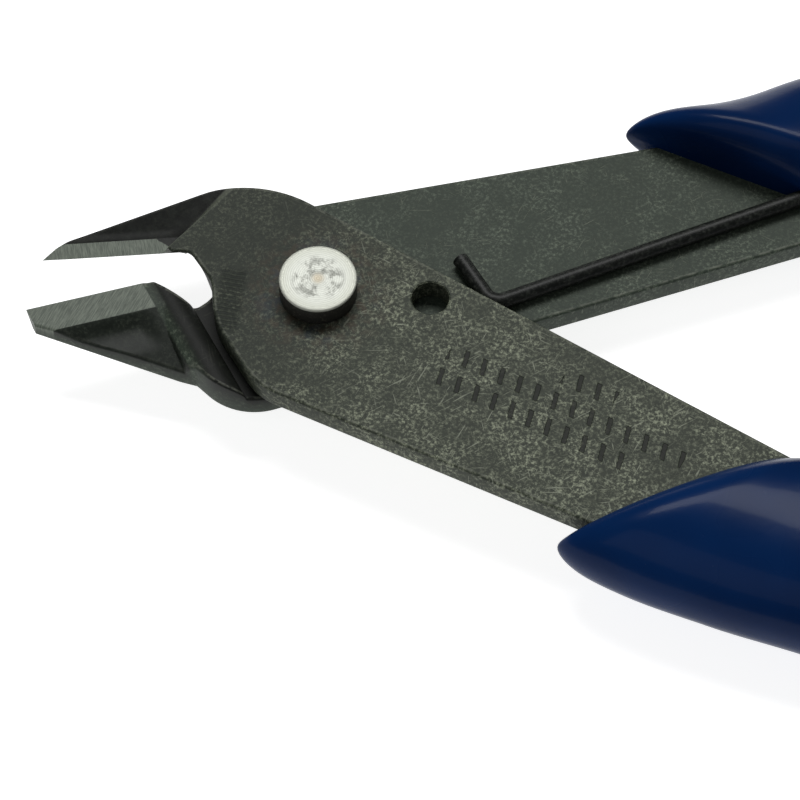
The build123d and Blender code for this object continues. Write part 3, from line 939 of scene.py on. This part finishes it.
def oiled_wire():
    finish = Finish("oiled_wire")
    fleck = finish.noise(4.0, 4, 0.7)
    color = finish.blend(fleck.rise(0.45, 0.7), (0.005, 0.006, 0.005), (0.03, 0.033, 0.028))
    return finish.done(color, 0.34 + 0.2 * fleck, fleck, depth=0.01, metallic=0.0, Specular_IOR_Level=0.2)


def navy_vinyl():
    finish = Finish("navy_vinyl")
    cloud = finish.noise(0.12, 2, 0.5)
    dust = finish.noise(7.0, 2, 0.5, offset=5.0).rise(0.76, 0.79)
    dust = dust * finish.noise(0.8, 2, offset=2.0).rise(0.5, 0.6)
    peel = finish.noise(0.9, 2, 0.5, offset=3.0)
    color = finish.blend(cloud.rise(0.3, 0.7), (0.0012, 0.013, 0.060), (0.0016, 0.019, 0.085))
    color = finish.blend(dust * 0.6, color, (0.25, 0.28, 0.32))
    roughness = 0.24 + 0.06 * cloud + 0.3 * dust
    return finish.done(color, roughness, peel * 0.8 + dust * 0.3, depth=0.02, Specular_IOR_Level=0.055,
                       Coat_Weight=0.05, Coat_Roughness=0.08)


rivet.data.materials.append(turned_steel())
spring.data.materials.append(oiled_wire())
vinyl = navy_vinyl()
for piece in (front_grip, rear_grip):
    piece.data.materials.append(vinyl)

# %% [markdown]
# ## Floor and light
# A plain white bench under a large soft box high behind the tool, with a weaker one in front. The flat steel
# mirrors the high box towards the camera; everything tilted to the front falls dark.

# %% Floor and light
floor_size = 3.0
floor_mesh = bpy.data.meshes.new("bench")
corners = [(-floor_size, -floor_size, 0), (floor_size, -floor_size, 0), (floor_size, floor_size, 0),
           (-floor_size, floor_size, 0)]
floor_mesh.from_pydata(corners, [], [(0, 1, 2, 3)])
bench = bpy.data.objects.new("bench", floor_mesh)
bpy.context.scene.collection.objects.link(bench)
paper = Finish("paper")
paper_tone = paper.blend(paper.noise(0.02, 2), (0.58, 0.58, 0.58), (0.62, 0.62, 0.62))
floor_mesh.materials.append(paper.done(paper_tone, 0.9, Emission_Color=(1, 1, 1, 1), Emission_Strength=0.85))


def soft_box(name, azimuth, elevation, distance, size, power):
    """A square area light that looks at the pivot from a direction."""
    a, e = radians(azimuth), radians(elevation)
    way = Vector((sin(a) * cos(e), -cos(a) * cos(e), sin(e)))
    data = bpy.data.lights.new(name, "AREA")
    data.shape, data.size, data.size_y, data.energy = "RECTANGLE", size[0], size[1], power
    light = bpy.data.objects.new(name, data)
    bpy.context.scene.collection.objects.link(light)
    light.location = Vector(pivot * MM) + way * distance
    light.rotation_mode = "QUATERNION"
    light.rotation_quaternion = way.to_track_quat("Z", "Y")
    return light


soft_box("high_box", 180, 62, 0.9, (0.7, 0.30), 6.5)
soft_box("front_box", -30, 50, 1.3, (0.8, 0.8), 1.5)
world = bpy.data.worlds.new("studio")
bpy.context.scene.world = world
world.use_nodes = True
world.node_tree.nodes["Background"].inputs[0].default_value = (0.95, 0.97, 1.0, 1.0)
world.node_tree.nodes["Background"].inputs[1].default_value = 0.12
bpy.context.scene.view_settings.view_transform = "Standard"
